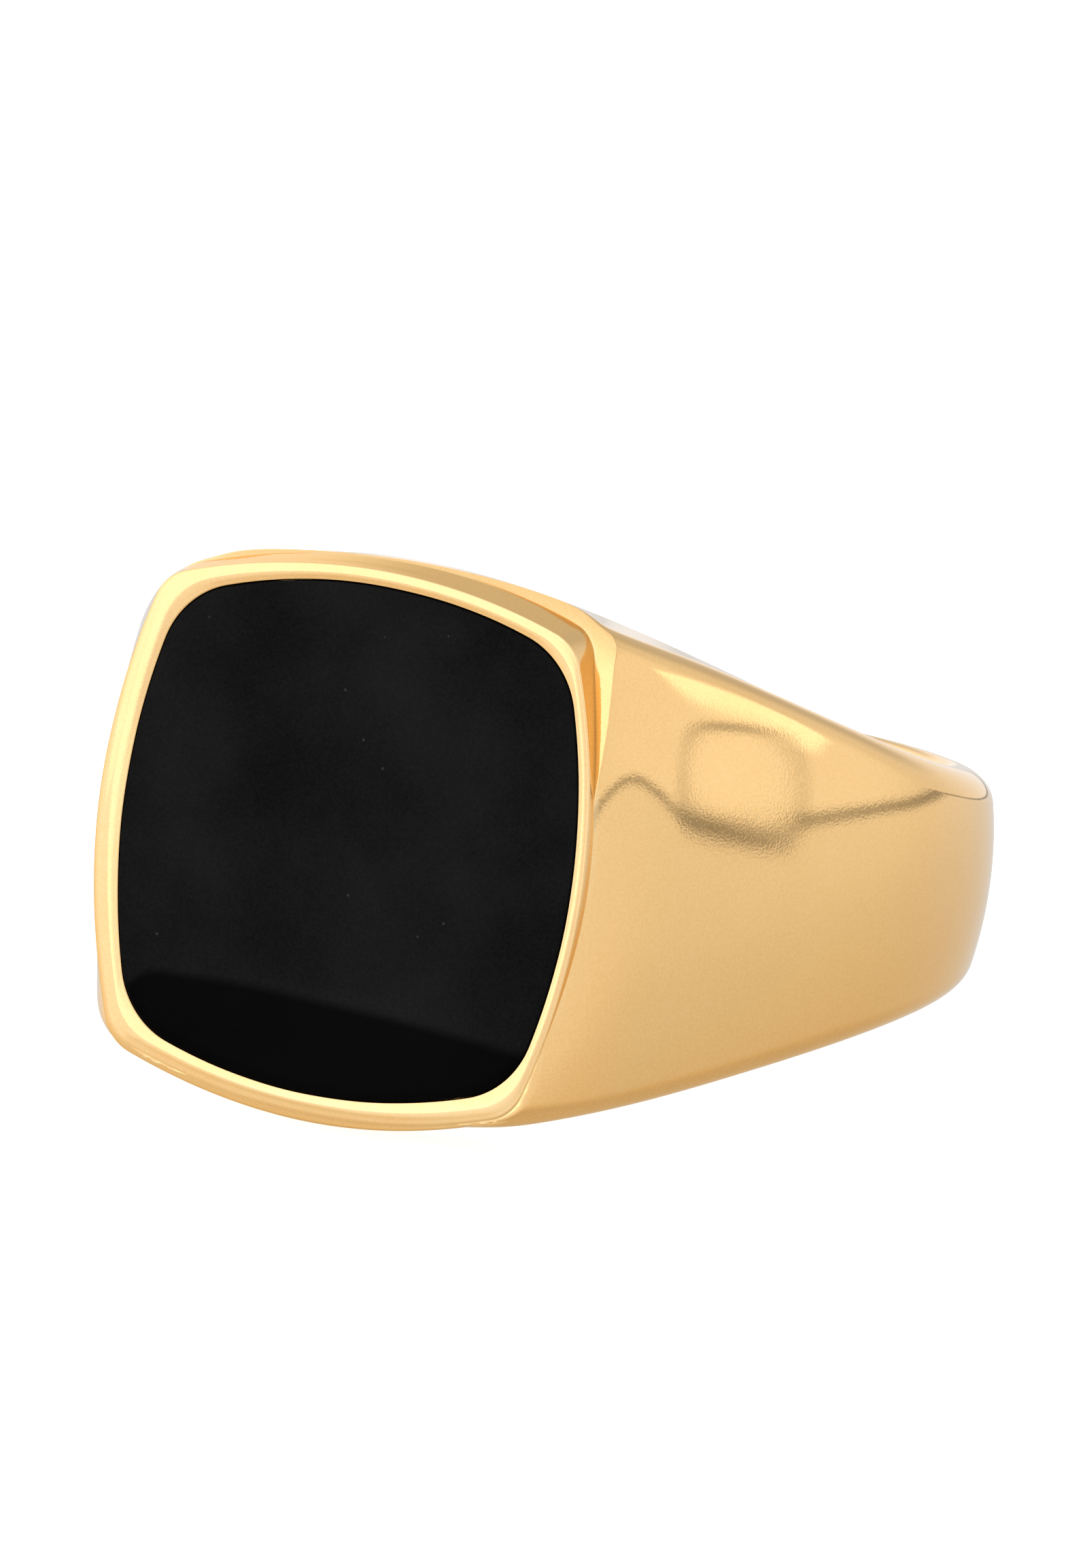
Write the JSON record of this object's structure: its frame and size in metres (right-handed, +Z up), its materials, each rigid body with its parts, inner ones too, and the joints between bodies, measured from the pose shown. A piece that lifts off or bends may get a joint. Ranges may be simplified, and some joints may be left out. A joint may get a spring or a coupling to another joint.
{
  "type": "signet ring",
  "caption": "Gold signet ring with a cushion-shaped black inlay in a raised head plate, tapering shoulders and a round finger hole, lying on its side.",
  "frame": {"origin": "under the middle of the ring, on the table it lies on", "axes": "+Z up from the table and close to the finger's direction, +X across the face, -Y out of the face, which looks a little upwards"},
  "size_m": [0.0222, 0.0242, 0.0138],
  "materials": {
    "polished_gold": "polished",
    "head_gold": "polished",
    "black_onyx": "polished",
    "clear_cement": "cured resin",
    "gold_solder": "as flowed"
  },
  "bodies": {
    "root": {"shank": "polished_gold", "head_plate": "head_gold", "black_inlay": "black_onyx", "inlay_cement": "clear_cement", "head_solder": "gold_solder"}
  },
  "joints": []
}
